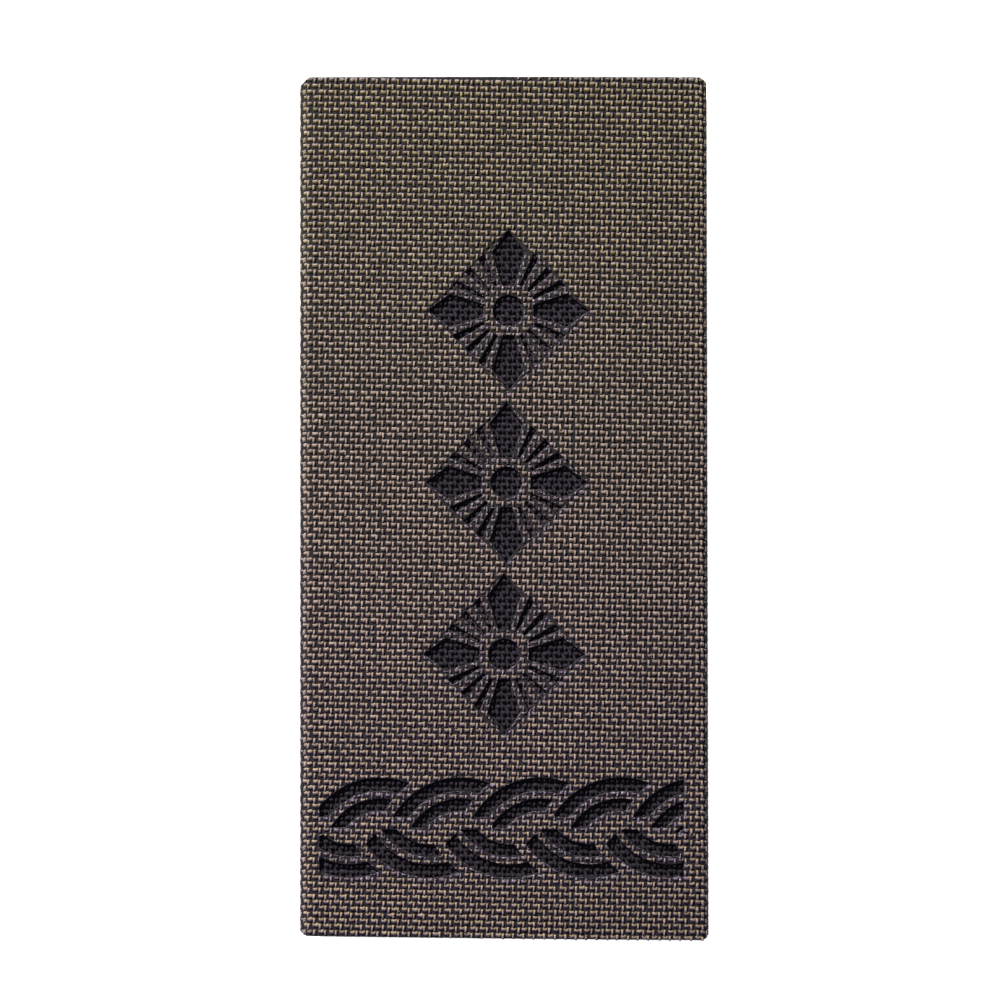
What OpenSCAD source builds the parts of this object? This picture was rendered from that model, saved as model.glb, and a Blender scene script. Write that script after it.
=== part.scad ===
// Slip-on shoulder board: a flattened sleeve of woven cloth, cut through with rank figures over a
// dark underlay. It lies on its back with its face up. +X is the board's right, +Y its plain end and
// +Z out of the face.

/* [Sleeve] */
// Width across the two folded sides
board_w = 50; // [47:0.5:56]
// Length from the plain end to the braid end
board_l = 106.2; // [100:0.2:116]
// How far the braid end is cut out of square, over the whole width
end_skew = 0.5; // [0:0.1:1.2]
// Bevel of the worn corner at the plain end, left
worn_corner = 1; // [0.6:0.1:2]
// Bevel of the other three corners
corner = 0.6; // [0.4:0.1:1.5]
// Thickness of the sleeve cloth
cloth_t = 1; // [0.8:0.1:1.4]
// Inside radius of the tight folds beside the face
face_fold_r = 0.5; // [0.3:0.1:0.9]
// Inside radius of the soft folds beside the back
back_fold_r = 3.5; // [2.5:0.1:4.5]
// How far the round of a tight fold stands above the curve of the face, which leaves a pressed crease
crease = 0.05; // [0.03:0.01:0.1]
// Rise of the face from its side folds to its middle
crown = 0.4; // [0.3:0.05:0.8]
// Clear height of the strap tunnel at the middle
tunnel_h = 4.72; // [4.4:0.02:6]

/* [Back lap] */
// Width over which the two edges of the cloth overlap
lap_w = 12; // [8:0.5:18]
// Length of the step where the upper edge climbs onto the lower one
lap_run = 2; // [1.4:0.1:3.5]
// Groove left between the step and the lower edge
lap_groove = 0.3; // [0.2:0.05:0.6]

/* [Underlay] */
// Thickness of the dark underlay cloth
underlay_t = 1; // [0.8:0.1:1.3]
// Gap between the underlay and the face cloth
bond_gap = 0.08; // [0.05:0.01:0.15]
// Clearance between the underlay and each side fold
side_clear = 0.8; // [0.6:0.1:2]
// How far the underlay stops short of each open end
end_clear = 2; // [1:0.1:5]

/* [Stars] */
// Number of stars up the board
stars = 3; // [1:1:3]
// Spacing of the stars
star_pitch = 21.15; // [20.7:0.05:22.5]
// Distance from the top of the braid to the middle of the lowest star
star_rise = 15.14; // [13:0.1:17]
// Sideways place of the lowest star
star_foot_x = 0.07; // [-1:0.01:1]
// Sideways step from each star to the next
star_lean = 0.27; // [-0.5:0.01:0.5]
// Radius of the round window in the middle
star_eye_r = 1.97; // [1.6:0.01:2.2]
// Reach of the four points from the middle
point_reach = 10; // [9.4:0.05:10.2]
// Distance from the middle to the shoulders of a point
point_shoulder = 7.2; // [6.6:0.1:7.8]
// Half width of a point at its shoulders
point_half_w = 2.1; // [1.7:0.05:2.3]
// Distance from the middle to the inner end of a point
point_start = 3; // [2.8:0.05:3.4]
// Half width of a point at its inner end
point_foot_w = 0.76; // [0.5:0.02:0.9]
// Angle between neighbouring rays
ray_angle = 18; // [17:0.25:19]
// Distance from the middle to the inner end of a ray
ray_start = 3.35; // [3.1:0.05:3.8]
// Half width of a ray at its inner end
ray_foot_w = 0.24; // [0.18:0.01:0.3]
// Half width of a ray at its outer end
ray_tip_w = 0.5; // [0.35:0.01:0.55]
// Reach of the diamond that the outer ends of the rays are cut to
ray_diamond = 10.1; // [9.4:0.05:10.6]

/* [Braid] */
// Margin from the braid end to the lower edge of the braid
braid_margin = 7.62; // [6:0.1:10]
// Mean margin from the board's two sides to the ends of the braid
braid_side = 2.55; // [2.3:0.05:4]
// Sideways place of the middle of the braid
braid_x = -0.23; // [-0.5:0.01:0.5]
// Spacing of the strands along the braid
strand_pitch = 9.86; // [9.7:0.02:10]
// Radius of the outer edge of a strand's outer window
strand_r = 9.53; // [9.3:0.01:9.7]
// Width of the outer window
outer_w = 1.73; // [1.5:0.01:1.9]
// Width of the cloth rib between the two windows
rib_w = 0.84; // [0.8:0.01:1.1]
// Width of the inner window
inner_w = 1.61; // [1.4:0.01:1.8]
// Cloth left between a window's tip and the next strand
tuck = 1.16; // [1:0.01:1.4]
// How far the upper row's ring centres lie below the lower row's
row_drop = 6.65; // [6.4:0.01:6.9]
// Sideways place of the first upper ring from the braid's left end
upper_start = 7.47; // [7.2:0.01:7.8]
// Sideways step from an upper ring to the lower ring beside it
lower_step = 6.11; // [5.9:0.01:6.3]
// Height of an upper ring that its outer window is left without
upper_cut = 4.59; // [4.4:0.01:4.8]
// Height of an upper ring that its inner window is left without
upper_inner_cut = 3.26; // [3.1:0.01:3.5]
// Depth of a lower ring that its inner window is left without
lower_cut = 3.5; // [3.3:0.01:3.7]
// Reach of the slanted end line of the lower outer window
lower_slant = 2.65; // [2.4:0.01:2.9]
// Length of the short slit at the right end of the braid
slit_l = 1.1; // [0.8:0.05:1.2]
// Width of the short slit
slit_w = 0.5; // [0.4:0.05:0.6]

/* [Hidden] */
$fn = 72;
over = 1;
sleeve_h = 3 * cloth_t + tunnel_h + underlay_t + bond_gap;
face_r = cloth_t + face_fold_r;
back_r = cloth_t + back_fold_r;
fold_x = board_w / 2 - face_r;
back_x = board_w / 2 - back_r;
crown_r = (fold_x * fold_x + crown * crown) / (2 * crown);
crown_z = sleeve_h - crown_r;
fold_z = sleeve_h - crown - face_r + crease;
underlay_w = board_w - 2 * (cloth_t + side_clear);
underlay_l = board_l - 2 * end_clear;
lap_edge = -lap_w / 2;
step_top = lap_edge - lap_groove;
step_foot = step_top - lap_run;
lower_y = -board_l / 2 + braid_margin + strand_r;
upper_y = lower_y - row_drop;
braid_top = upper_y + strand_r;
braid_l = board_w - 2 * braid_side;
braid_left = braid_x - braid_l / 2;
braid_right = braid_x + braid_l / 2;
strands = ceil(braid_l / strand_pitch);
upper_x = braid_left + upper_start;
lower_x = upper_x + lower_step;
rib_r = strand_r - outer_w;
inner_r = rib_r - rib_w;
heart_r = inner_r - inner_w;
cut_z = sleeve_h - crown - cloth_t - bond_gap / 2;

// A wide flat circle sector of the face's own curve, from radius r out to the side line half_w
module crown_piece(r, half_w) {
    intersection() {
        translate([0, crown_z])
            circle(r = r, $fn = 1440);
        translate([-half_w, back_r])
            square([2 * half_w, sleeve_h]);
    }
}

// Section of the sleeve filled in, shrunk inwards by inset
module filled_section(inset) {
    top_r = face_r - inset;
    foot_r = back_r - inset;
    side_x = board_w / 2 - inset;
    above = sleeve_h + over;
    intersection() {
        translate([0, crown_z])
            circle(r = crown_r - inset, $fn = 1440);
        union() {
            polygon([[-fold_x, above], [-fold_x, fold_z], [-side_x, fold_z], [-side_x, back_r],
                [-back_x, inset], [back_x, inset], [side_x, back_r], [side_x, fold_z], [fold_x, fold_z],
                [fold_x, above]]);
            for (side = [0, 1])
                mirror([side, 0]) {
                    quarter([fold_x, fold_z], [0, top_r], [top_r, 0]);
                    quarter([back_x, back_r], [foot_r, 0], [0, -foot_r]);
                }
        }
    }
}

// Quarter of a disc about a middle, between two arms of the disc's own radius
module quarter(middle, arm, other) {
    intersection() {
        translate(middle)
            circle(r = norm(other));
        polygon([middle, middle + 2 * arm, middle + 2 * arm + 2 * other, middle + 2 * other]);
    }
}

// Hollow of the sleeve, with the lapped edge of the cloth standing up from its floor
module hollow() {
    difference() {
        filled_section(cloth_t);
        polygon([[step_foot, cloth_t], [step_top, 2 * cloth_t], [lap_w / 2, 2 * cloth_t], [lap_w / 2, 0],
            [step_foot, 0]]);
    }
}

// Closed ring of cloth with its back lapped over itself at the middle
module sleeve_section() {
    difference() {
        filled_section(0);
        hollow();
        polygon([[step_foot, 0], [step_top, cloth_t], [lap_edge, cloth_t], [lap_edge, -over],
            [step_foot, -over]]);
    }
}

// Outline of the board from above
module board_outline() {
    right = board_w / 2;
    top = board_l / 2;
    foot = -board_l / 2;
    foot_left = foot + end_skew;
    polygon([[-right + worn_corner, top], [right - corner, top], [right, top - corner],
        [right, foot + corner], [right - corner, foot], [-right + corner, foot_left],
        [-right, foot_left + corner], [-right, top - worn_corner]]);
}

// One four-pointed star: a round eye, four points and three rays between each two points
module star() {
    circle(r = star_eye_r);
    for (turn = [0:90:270])
        rotate(turn) {
            polygon([[point_start, -point_foot_w], [point_shoulder, -point_half_w], [point_reach, 0],
                [point_shoulder, point_half_w], [point_start, point_foot_w]]);
            for (fan = [-1, 0, 1])
                ray(45 + fan * ray_angle);
        }
}

// One ray at the given angle, cut off along the star's diamond
module ray(angle) {
    tip = ray_diamond / (cos(angle) + sin(angle));
    grow = (ray_tip_w - ray_foot_w) / (tip - ray_start);
    long = tip + 2 * over;
    long_w = ray_foot_w + grow * (long - ray_start);
    intersection() {
        rotate(angle)
            polygon([[ray_start, -ray_foot_w], [long, -long_w], [long, long_w], [ray_start, ray_foot_w]]);
        polygon([[0, 0], [ray_diamond, 0], [0, ray_diamond]]);
    }
}

// Ring between two radii, kept where it stands more than cut above its centre
module arch(big, small, cut) {
    intersection() {
        difference() {
            circle(r = big);
            circle(r = small);
        }
        translate([-strand_r - over, cut])
            square([2 * strand_r + 2 * over, strand_r + over]);
    }
}

// The two windows of one upper strand, up to the strand that follows
module upper_strand() {
    difference() {
        union() {
            arch(strand_r, rib_r, upper_cut);
            arch(inner_r, heart_r, upper_inner_cut);
        }
        translate([strand_pitch, 0])
            circle(r = strand_r + tuck);
    }
}

// The two windows of one lower strand, which hang below the ring's centre
module lower_strand() {
    far = 2 * strand_r;
    difference() {
        union() {
            mirror([0, 1])
                arch(inner_r, heart_r, lower_cut);
            intersection() {
                mirror([0, 1])
                    arch(strand_r, rib_r, 0);
                polygon([[-lower_slant - far, -far], [-lower_slant + far, far], [far, far], [far, -far]]);
            }
        }
        translate([strand_pitch, 0])
            circle(r = strand_r + tuck);
    }
}

// The plaited band, cut off square at its two ends
module braid() {
    intersection() {
        union() {
            for (i = [0:strands - 1])
                translate([upper_x + i * strand_pitch, upper_y])
                    upper_strand();
            for (i = [-1:strands - 2])
                translate([lower_x + i * strand_pitch, lower_y])
                    lower_strand();
            translate([braid_right - slit_l / 2, upper_y + upper_inner_cut - slit_w / 2])
                rotate(40)
                    square([slit_l, slit_w], center = true);
        }
        translate([braid_left, lower_y - strand_r - over])
            square([braid_l, 2 * strand_r + row_drop]);
    }
}

// All windows of the face
module windows() {
    for (i = [0:stars - 1])
        translate([star_foot_x + i * star_lean, braid_top + star_rise + i * star_pitch])
            star();
    braid();
}

// Piece of cloth with the section lying across the board, centred along it
module along_board(length) {
    rotate([90, 0, 0])
        linear_extrude(height = length, center = true)
            children();
}

module sleeve() {
    color([0.34, 0.31, 0.29])
        difference() {
            intersection() {
                along_board(board_l + 2 * over)
                    sleeve_section();
                translate([0, 0, -over])
                    linear_extrude(height = sleeve_h + 2 * over)
                        board_outline();
            }
            translate([0, 0, cut_z])
                linear_extrude(height = cloth_t + crown + 2 * over)
                    windows();
        }
}

module underlay() {
    color([0.08, 0.075, 0.09])
        along_board(underlay_l)
            difference() {
                crown_piece(crown_r - cloth_t - bond_gap, underlay_w / 2);
                crown_piece(crown_r - cloth_t - bond_gap - underlay_t, underlay_w / 2 + over);
            }
}

sleeve();
underlay();
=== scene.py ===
# %% [markdown]
# # A cloth shoulder board, woven yarn by yarn
#
# The board is a flattened sleeve of heavy taupe cloth. Stars and a plaited band are cut through its
# face, and a near-black cloth lies behind them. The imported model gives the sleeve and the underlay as
# smooth solids. Everything that makes them look like cloth is added here: the yarns, the melted rims
# of the cuts, the seam of the back, the finishes, the light and the camera.
#
# The frame comes first. It is loaded as it is, and nothing in it is moved.

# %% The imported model
import math

import bmesh
import bpy
import numpy as np
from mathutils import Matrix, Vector
from mathutils.bvhtree import BVHTree
from mathutils.kdtree import KDTree


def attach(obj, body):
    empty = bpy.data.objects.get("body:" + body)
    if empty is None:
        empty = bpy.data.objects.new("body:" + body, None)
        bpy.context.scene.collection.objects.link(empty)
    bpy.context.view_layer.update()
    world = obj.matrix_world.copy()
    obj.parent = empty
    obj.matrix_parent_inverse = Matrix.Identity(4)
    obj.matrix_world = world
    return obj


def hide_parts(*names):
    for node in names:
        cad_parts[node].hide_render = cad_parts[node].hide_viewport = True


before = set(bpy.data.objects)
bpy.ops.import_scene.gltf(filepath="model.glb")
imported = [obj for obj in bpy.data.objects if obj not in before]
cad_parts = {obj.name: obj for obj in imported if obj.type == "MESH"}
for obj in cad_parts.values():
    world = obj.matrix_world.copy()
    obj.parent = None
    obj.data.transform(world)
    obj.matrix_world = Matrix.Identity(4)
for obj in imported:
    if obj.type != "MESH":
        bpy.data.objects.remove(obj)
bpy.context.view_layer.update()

MM = 0.001

# %% [markdown]
# ## The skin of the sleeve
#
# Cloth is easiest to think of flat, as it comes off the loom, and then bent round the sleeve. So this
# cell holds one rule: a place s along the cloth, measured from the middle of the face round to the
# back, and a height h out of it, give a point of the section. The face is a very shallow arch, each
# side turns over in a tight fold, runs down, and comes round in a softer fold to the back. All the
# measures are in mm.

# %% From flat cloth to the sleeve's section
HALF_WIDE = 25.0
CROWN_R, CROWN_Z = 690.51, -681.71  # the face's arch: its radius, and the height of its middle
FOLD_X, FOLD_Z, FACE_R = 23.5, 6.9, 1.5  # the tight folds beside the face
BACK_X, BACK_R = 20.5, 4.5  # the soft folds beside the back
CREASE = 0.051  # the solid has a small flat between arch and fold
lean = math.asin(FOLD_X / CROWN_R)
S_FACE = CROWN_R * lean
S_FOLD = S_FACE + (math.pi / 2 - lean) * FACE_R
S_SIDE = S_FOLD + FOLD_Z - BACK_R
S_BACK = S_SIDE + math.pi / 2 * BACK_R


def by_part(a, values):
    """One value each for the face, the tight fold, the side, the soft fold and the back."""
    return np.select([a < S_FACE, a < S_FOLD, a < S_SIDE, a < S_BACK], values[:4], values[4])


def onto_section(s, h):
    """The x and z of flat places s at heights h above the cloth's outer skin."""
    side, a = np.sign(s), np.abs(s)
    in_fold, in_back_fold = lean + (a - S_FACE) / FACE_R, math.pi / 2 + (a - S_SIDE) / BACK_R
    turn = by_part(a, [a / CROWN_R, in_fold, math.pi / 2, in_back_fold, math.pi])
    x0 = by_part(a, [0, FOLD_X, HALF_WIDE, BACK_X, BACK_X - (a - S_BACK)])
    z0 = by_part(a, [CROWN_Z, FOLD_Z, FOLD_Z - (a - S_FOLD), BACK_R, 0])
    arm = by_part(a, [CROWN_R, FACE_R, 0, BACK_R, 0]) + h
    return side * (x0 + arm * np.sin(turn)), z0 + arm * np.cos(turn)


def height_on_section(x, z):
    """The other way round: how far points lie outside the skin, and the x and z of the way out."""
    a = np.abs(x)
    crown = (z > FOLD_Z) & (a <= FOLD_X + CREASE)
    fold = (z > FOLD_Z) & ~crown
    side = (z <= FOLD_Z) & (z >= BACK_R) & (a > BACK_X)
    back = (z < BACK_R) & (a > BACK_X)
    parts = [crown, fold, side, back]
    cx = np.select(parts, [0 * a, 0 * a + FOLD_X, a - 1, 0 * a + BACK_X], a)
    cz = np.select(parts, [0 * a + CROWN_Z, 0 * a + FOLD_Z, z, 0 * a + BACK_R], z + 1)
    gone = np.hypot(a - cx, z - cz)
    round_h = gone - np.select(parts, [CROWN_R, FACE_R, 0, BACK_R], 0)
    h = np.select(parts, [round_h, round_h, a - HALF_WIDE, round_h], -z)
    return h, np.sign(x) * (a - cx) / gone, (z - cz) / gone


print("the cloth turns over at", round(S_FACE, 1), "mm and lies flat again at", round(S_BACK, 1), "mm")

# %% [markdown]
# ## Cut a little askew
#
# The real cloth isn't as true as the model. It is a hair wider than the solid, most of all at the
# right of its braid end. One small function moves every point near a side by that much, and it is
# used for all the pieces, so that they stay together.

# %% A little wider at the sides
WIDER_LEFT, WIDER_RIGHT, WIDER_BRAID = 0.19, 0.08, 0.25
WIDEN_FROM, HALF_LONG = 22, 53


def spread(x, y):
    to_braid = (HALF_LONG - y) / (2 * HALF_LONG)
    extra = np.where(x < 0, WIDER_LEFT, WIDER_RIGHT + WIDER_BRAID * to_braid)
    return x + np.sign(x) * extra * np.clip((np.abs(x) - WIDEN_FROM) / (HALF_WIDE - WIDEN_FROM), 0, 1)


print("the lower right corner moves out by", round(float(spread(25.0, -53.0)) - 25.0, 2), "mm")

# %% [markdown]
# ## Shader sums as plain Python
#
# A finish is a small sum of patterns: noise times a stripe, one minus a mask. In the node editor each
# sign is a Math node. This class wraps one output of a node, so that the sums can be written as sums.
# Any other node comes from `node`, which sets the node's own choices before it fills its sockets.

# %% A wire
class Wire:
    """One output of a node. Signs between wires, or between a wire and a number, add Math nodes."""

    def __init__(self, tree, socket=None):
        self.tree, self.socket = tree, socket

    def node(self, kind, settings=None, sockets=None, out=0):
        made = self.tree.nodes.new(kind)
        for name, value in (settings or {}).items():
            if name == "stops":
                while len(made.color_ramp.elements) < len(value):
                    made.color_ramp.elements.new(0.5)
                for stop, (place, colour) in zip(made.color_ramp.elements, value):
                    stop.position, stop.color = place, (*colour, 1)
            else:
                setattr(made, name, value)
        for name, value in (sockets or {}).items():
            if isinstance(value, Wire):
                self.tree.links.new(value.socket, made.inputs[name])
            else:
                made.inputs[name].default_value = value
        return Wire(self.tree, made.outputs[out] if len(made.outputs) else None)

    def sum(self, operation, a, b):
        return self.node("ShaderNodeMath", {"operation": operation}, {0: a, 1: b})

    def __add__(self, other):
        return self.sum("ADD", self, other)

    def __sub__(self, other):
        return self.sum("SUBTRACT", self, other)

    def __rsub__(self, other):
        return self.sum("SUBTRACT", other, self)

    def __mul__(self, other):
        return self.sum("MULTIPLY", self, other)

    def __pow__(self, other):
        return self.sum("POWER", self, other)

    __radd__, __rmul__ = __add__, __mul__

    def blend(self, low, high):
        """From colour low to colour high as this wire goes from 0 to 1. Each may be a wire too."""
        return self.node("ShaderNodeMix", {"data_type": "RGBA"}, {0: self, 6: low, 7: high}, 2)


print("a wire can be added, taken away, multiplied, raised to a power and used as a mask")

# %% A new material
def new_finish(name, sheen=0.0, sheen_roughness=0.5, specular=0.5):
    """An empty material, its first wire and its shader with the numbers that are the same all over."""
    finish = bpy.data.materials.new(name)
    finish.use_nodes = True
    tree = finish.node_tree
    shader = tree.nodes["Principled BSDF"]
    shader.inputs["Sheen Weight"].default_value = sheen
    shader.inputs["Sheen Roughness"].default_value = sheen_roughness
    shader.inputs["Specular IOR Level"].default_value = specular
    return finish, Wire(tree), shader


def feed(shader, tree, **links):
    for name, wire in links.items():
        tree.links.new(wire.socket, shader.inputs[name.replace("_", " ")])


def linear(c):
    """A number of a paint chart, 0 to 255, as the linear number that shaders use."""
    c = c / 255
    return c / 12.92 if c < 0.04045 else ((c + 0.055) / 1.055) ** 2.4


def rgba(r, g, b):
    return linear(r), linear(g), linear(b), 1.0


print("the shader helper is ready; taupe is", [round(c, 3) for c in rgba(120, 108, 96)])

# %% [markdown]
# ## Patterns that the finishes share
#
# The same few nodes come back in every finish, so each gets a short name. Two of them read where a
# point is: `place` in the object's own metres, and `down_the_board`, which goes from 0 at the plain
# end to 1 at the braid end, with a soft start and stop.

# %% Short names for common nodes
BLEND_END = 0.055


def place_on_board(wire):
    return wire.node("ShaderNodeTexCoord", out=3)


def axis(wire, place, k):
    return wire.node("ShaderNodeSeparateXYZ", sockets={0: place}, out=k)


def ramp_up(wire, value, low, high, settings=None):
    """0 up to low and 1 from high on, and even between."""
    return wire.node("ShaderNodeMapRange", settings, {0: value, 1: low, 2: high})


def down_the_board(wire, place):
    smooth = {"interpolation_type": "SMOOTHSTEP"}
    return ramp_up(wire, axis(wire, place, 1), BLEND_END, -BLEND_END, smooth)


def noise(wire, place, scale, detail, roughness=0.5):
    sockets = {"Vector": place, "Scale": scale, "Detail": detail, "Roughness": roughness}
    return wire.node("ShaderNodeTexNoise", sockets=sockets)


def attribute(wire, title):
    return wire.node("ShaderNodeAttribute", {"attribute_name": title}, out=2)


def scaled(wire, colour, light):
    return wire.node("ShaderNodeVectorMath", {"operation": "SCALE"}, {0: colour, 3: light})


def bumps(wire, strength, distance, height):
    sockets = {"Strength": strength, "Distance": distance, "Height": height}
    return wire.node("ShaderNodeBump", sockets=sockets)


print("colours blend over", 2 * BLEND_END / MM, "mm of the board's length")

# %% [markdown]
# ## The finish of a yarn
#
# A yarn is a bundle of shiny filaments, so it has fine stripes along its length, and no two of its floats
# (the short stretches where it lies on top) have quite the same tone. The mesh brings what the finish has
# to know: the float's own map, its `tone`, `fused`, which is 1 where heat has melted the yarn beside a cut
# and which also marks, as painted light, a wider band on the lower right side of a cut or of a star's line
# and the dark floats in the slits that run with the lamp's light, and `worn`, which is 1 on the narrow
# strips between two cuts and which also paints shade in a narrow band just inside each star's line.
#
# The photograph's lens spread the colours a little. Near the plain end the body of each float looks
# olive and its upper brim violet, near the braid end the body violet and the brim golden, and in the
# middle neither. So five paints, for body and brim at each end and for the middle, are blended along
# the board and up the float. Two ramps up the float add the shade of its lower side.

# %% Yarn finishes
BRIM_START, BRIM_WIDE, BRIM_DRIFT = {"s": 0.57, "y": 0.66}, 0.25, 0.17
PAINTED_END_SHADE, DARK_WEAR_AND_SHADE = 0.25, 0.42
# Painted shade: the lamp's light falls off to the right and towards the braid end, and that falloff is
# painted into the yarns' colour.
PAINTED_FALLOFF_RIGHT, PAINTED_FALLOFF_CORNER = 1.5, 2.5  # how much darker per metre, and more so near the braid


def float_paint(wire, paints, ends, down, v, brim_start):
    to_middle, to_braid = ends
    plain_body, plain_brim, middle, braid_body, braid_brim = [rgba(*paint) for paint in paints]
    body = to_braid.blend(to_middle.blend(plain_body, middle), braid_body)
    brim = to_braid.blend(to_middle.blend(plain_brim, middle), braid_brim)
    return ramp_up(wire, v + down * BRIM_DRIFT, brim_start, brim_start + BRIM_WIDE).blend(body, brim)


def float_shade(wire, shades, to_braid, v):
    """A ramp holds colours up to 1, so the shades go in at half and come out doubled."""
    # painted shade down the lower side of a float and a painted highlight near its upper brim
    stops = [[(at_v, (k / 2,) * 3) for at_v, k in shade] for shade in shades]
    plain_end, braid_end = [wire.node("ShaderNodeValToRGB", {"stops": s}, {0: v}) for s in stops]
    return to_braid.blend(plain_end, braid_end) * 2.0


def yarn_finish(name, paints, shades, along, melted, painted_glint, shine, sheen, specular):
    finish, wire, shader = new_finish(name, sheen=sheen, sheen_roughness=0.45, specular=specular)
    place, flat = place_on_board(wire), wire.node("ShaderNodeTexCoord", out=2)
    down, aside = down_the_board(wire, place), axis(wire, place, 0)
    ends = ramp_up(wire, down, 0.0, 0.5), ramp_up(wire, down, 0.5, 1.0)
    u, v = axis(wire, flat, 0), axis(wire, flat, 1)
    across, lengthwise = (v, u) if along == "s" else (u, v)
    tone, fused, worn = [attribute(wire, title) for title in ("tone", "fused", "worn")]
    # patterns, from broad patches to single filaments
    patch, fleck = noise(wire, place, 90.0, 2.0), noise(wire, place, 2600.0, 3.0, 0.6)
    hairs, glint_spots = noise(wire, place, 6500.0, 2.0, 0.6), noise(wire, place, 5200.0, 2.0)
    stripes = wire.sum("SINE", across * 31.0 + fleck * 9.0, 0.0)
    # how bright: first by the patterns, then by painted shade and highlight up the float, painted shade at
    # its two ends, wear and painted shade by the cuts, and a painted falloff of the lamp's light across
    # the board
    light = 0.34 + tone * 0.8 + fleck * 0.4 + hairs * 0.9 + (patch - 0.5) * 0.3 + stripes * 0.08
    end = lengthwise * 2.0 - 1.0
    # painted shade and painted highlight up the float
    light = light * float_shade(wire, shades, ends[1], v)
    # painted shade at the float's two ends, where it dives under the crossing yarn; the second factor
    # darkens worn strips and paints shade inside a star's line
    light = light * (1.0 - end * end * end * end * PAINTED_END_SHADE) * (1.0 - worn * DARK_WEAR_AND_SHADE)
    # painted falloff of the lamp's light: darker to the right, and more so near the braid
    light = light * (0.985 - aside * (PAINTED_FALLOFF_RIGHT + down * PAINTED_FALLOFF_CORNER))
    lit = scaled(wire, float_paint(wire, paints, ends, down, v, BRIM_START[along]), light)
    # melted yarn is plain and glassy; the bright sparks on it are painted glints
    melt = ramp_up(wire, glint_spots, 0.51, 0.66).blend(rgba(*melted), rgba(*painted_glint))
    painted = (fused * (0.5 + fleck * 0.8)).blend(lit, melt)
    rough = (1.0 - shine) + fleck * 0.25 - fused * 0.1
    bump = bumps(wire, 0.6, 0.00006, stripes * 0.4 + fleck + hairs)
    feed(shader, wire.tree, Base_Color=painted, Roughness=rough, Normal=bump)
    return finish


weft_paints = (111, 100, 68), (104, 97, 114), (113, 100, 92), (112, 92, 120), (119, 106, 84)
warp_paints = (158, 142, 124), (148, 138, 160), (165, 147, 140), (172, 155, 146), (174, 158, 110)
# Ramps of painted shade and painted highlight up each float, as (v, brightness) from its lower side to its
# upper one.
weft_plain = (
    (0.0, 0.6), (0.13, 0.65), (0.27, 0.57), (0.4, 0.6),
    (0.5, 0.78), (0.61, 1.08), (0.75, 1.08), (1.0, 1.3),
)
weft_braid = (
    (0.0, 0.2), (0.2, 0.22), (0.35, 0.32), (0.45, 0.5),
    (0.55, 0.74), (0.65, 0.97), (0.8, 1.15), (1.0, 1.5),
)
weft_shades = weft_plain, weft_braid
warp_plain = (0.0, 0.85), (0.2, 0.95), (0.4, 0.95), (0.6, 0.95), (0.8, 0.84), (1.0, 0.8)
warp_braid = (0.0, 0.9), (0.2, 0.95), (0.4, 0.9), (0.6, 0.98), (0.8, 0.84), (1.0, 0.78)
warp_shades = warp_plain, warp_braid
glassy = {"melted": (70, 61, 76), "painted_glint": (172, 160, 190), "shine": 0.5, "sheen": 0.1, "specular": 0.5}
weft_finish = yarn_finish("taupe_weft", weft_paints, weft_shades, "s", **glassy)
warp_finish = yarn_finish("taupe_warp", warp_paints, warp_shades, "y", **glassy)
print("taupe yarn finishes:", weft_finish.name, "and", warp_finish.name)

# %% [markdown]
# The dark cloth of the underlay has the same build, with one paint all over, painted shade and highlight
# up each float, and hardly any shine. Its warp is painted darker than its weft, as painted shade, because
# it lies deeper.

# %% Dark yarn finishes
# the warp's darker paint is painted shade, since the warp lies deeper
ink, shaded_warp_paint = ((34, 31, 40),) * 5, ((19, 16, 22),) * 5
# painted shade on the lower side of each dark float and a painted highlight near its top
dark_shades = (((0.0, 0.3), (0.4, 0.6), (0.65, 1.1), (1.0, 0.7)),) * 2
dull = {"melted": (54, 47, 51), "painted_glint": (104, 94, 104), "shine": 0.3, "sheen": 0.04, "specular": 0.14}
dark_weft_finish = yarn_finish("dark_weft", ink, dark_shades, "s", **dull)
dark_warp_finish = yarn_finish("dark_warp", shaded_warp_paint, dark_shades, "y", **dull)
print("dark yarn finishes:", dark_weft_finish.name, "and", dark_warp_finish.name)

# %% [markdown]
# ## The finishes behind the yarns
#
# Three more finishes carry the rest. Deep between the yarns the cloth is in shade, and the taupe cloth's
# ground there is painted nearly black, as painted shade. A cut edge was sealed by heat: its ends are
# melted into small glossy beads, and those on the lower right of a window, which face the lamp, are
# painted paler, as painted light. And the inside of the sleeve, which only shows through its open ends,
# has a weave made by two crossed waves: where their product is positive the weft is on top, and where it
# is negative the warp is. Where the waves cross nought, between the floats, its colour is painted darker,
# as painted shade.

# %% Gap, sealed edge and inner weave
PITCH_S, PITCH_Y = 0.6425, 0.739  # from one warp yarn to the next, and from one weft yarn to the next


def gap_finish(name, plain_end, braid_end):
    finish, wire, shader = new_finish(name, specular=0.15)
    place = place_on_board(wire)
    shade = down_the_board(wire, place).blend(rgba(*plain_end), rgba(*braid_end))
    fibres = noise(wire, place, 4000.0, 3.0)
    colour = scaled(wire, shade, 0.6 + fibres * 1.6)
    bump = bumps(wire, 0.6, 0.00008, fibres)
    feed(shader, wire.tree, Base_Color=colour, Roughness=0.75 + fibres * 0.2, Normal=bump)
    return finish


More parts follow.
